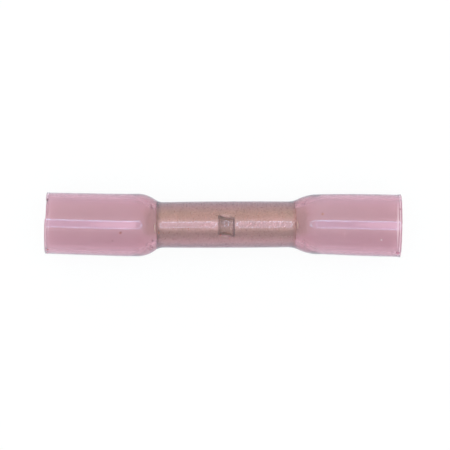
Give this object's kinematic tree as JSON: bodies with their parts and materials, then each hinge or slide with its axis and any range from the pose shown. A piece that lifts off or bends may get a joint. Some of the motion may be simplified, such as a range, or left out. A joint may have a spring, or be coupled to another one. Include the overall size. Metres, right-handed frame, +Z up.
{
  "type": "heat shrink butt connector",
  "caption": "Translucent heat shrink sleeve with wide open mouths, shrunk tight on a tinned copper crimp barrel that joins wires end to end at a central wire stop.",
  "frame": {"origin": "middle of the crimp barrel, on its axis", "axes": "+X along the barrel's axis to the right-hand mouth in the picture, +Y up the picture, +Z up from the surface that the connector lies on, towards the picture's viewpoint"},
  "size_m": [0.0372, 0.007, 0.0065],
  "materials": {
    "tinned_copper": "satin tin plating on copper",
    "shrink_sleeve": "glossy translucent pink polyolefin",
    "hot_melt": "clear pinkish hot-melt adhesive"
  },
  "bodies": {
    "root": {"crimp_barrel": "tinned_copper", "heat_shrink_sleeve": "shrink_sleeve", "adhesive_lining": "hot_melt"}
  },
  "joints": []
}
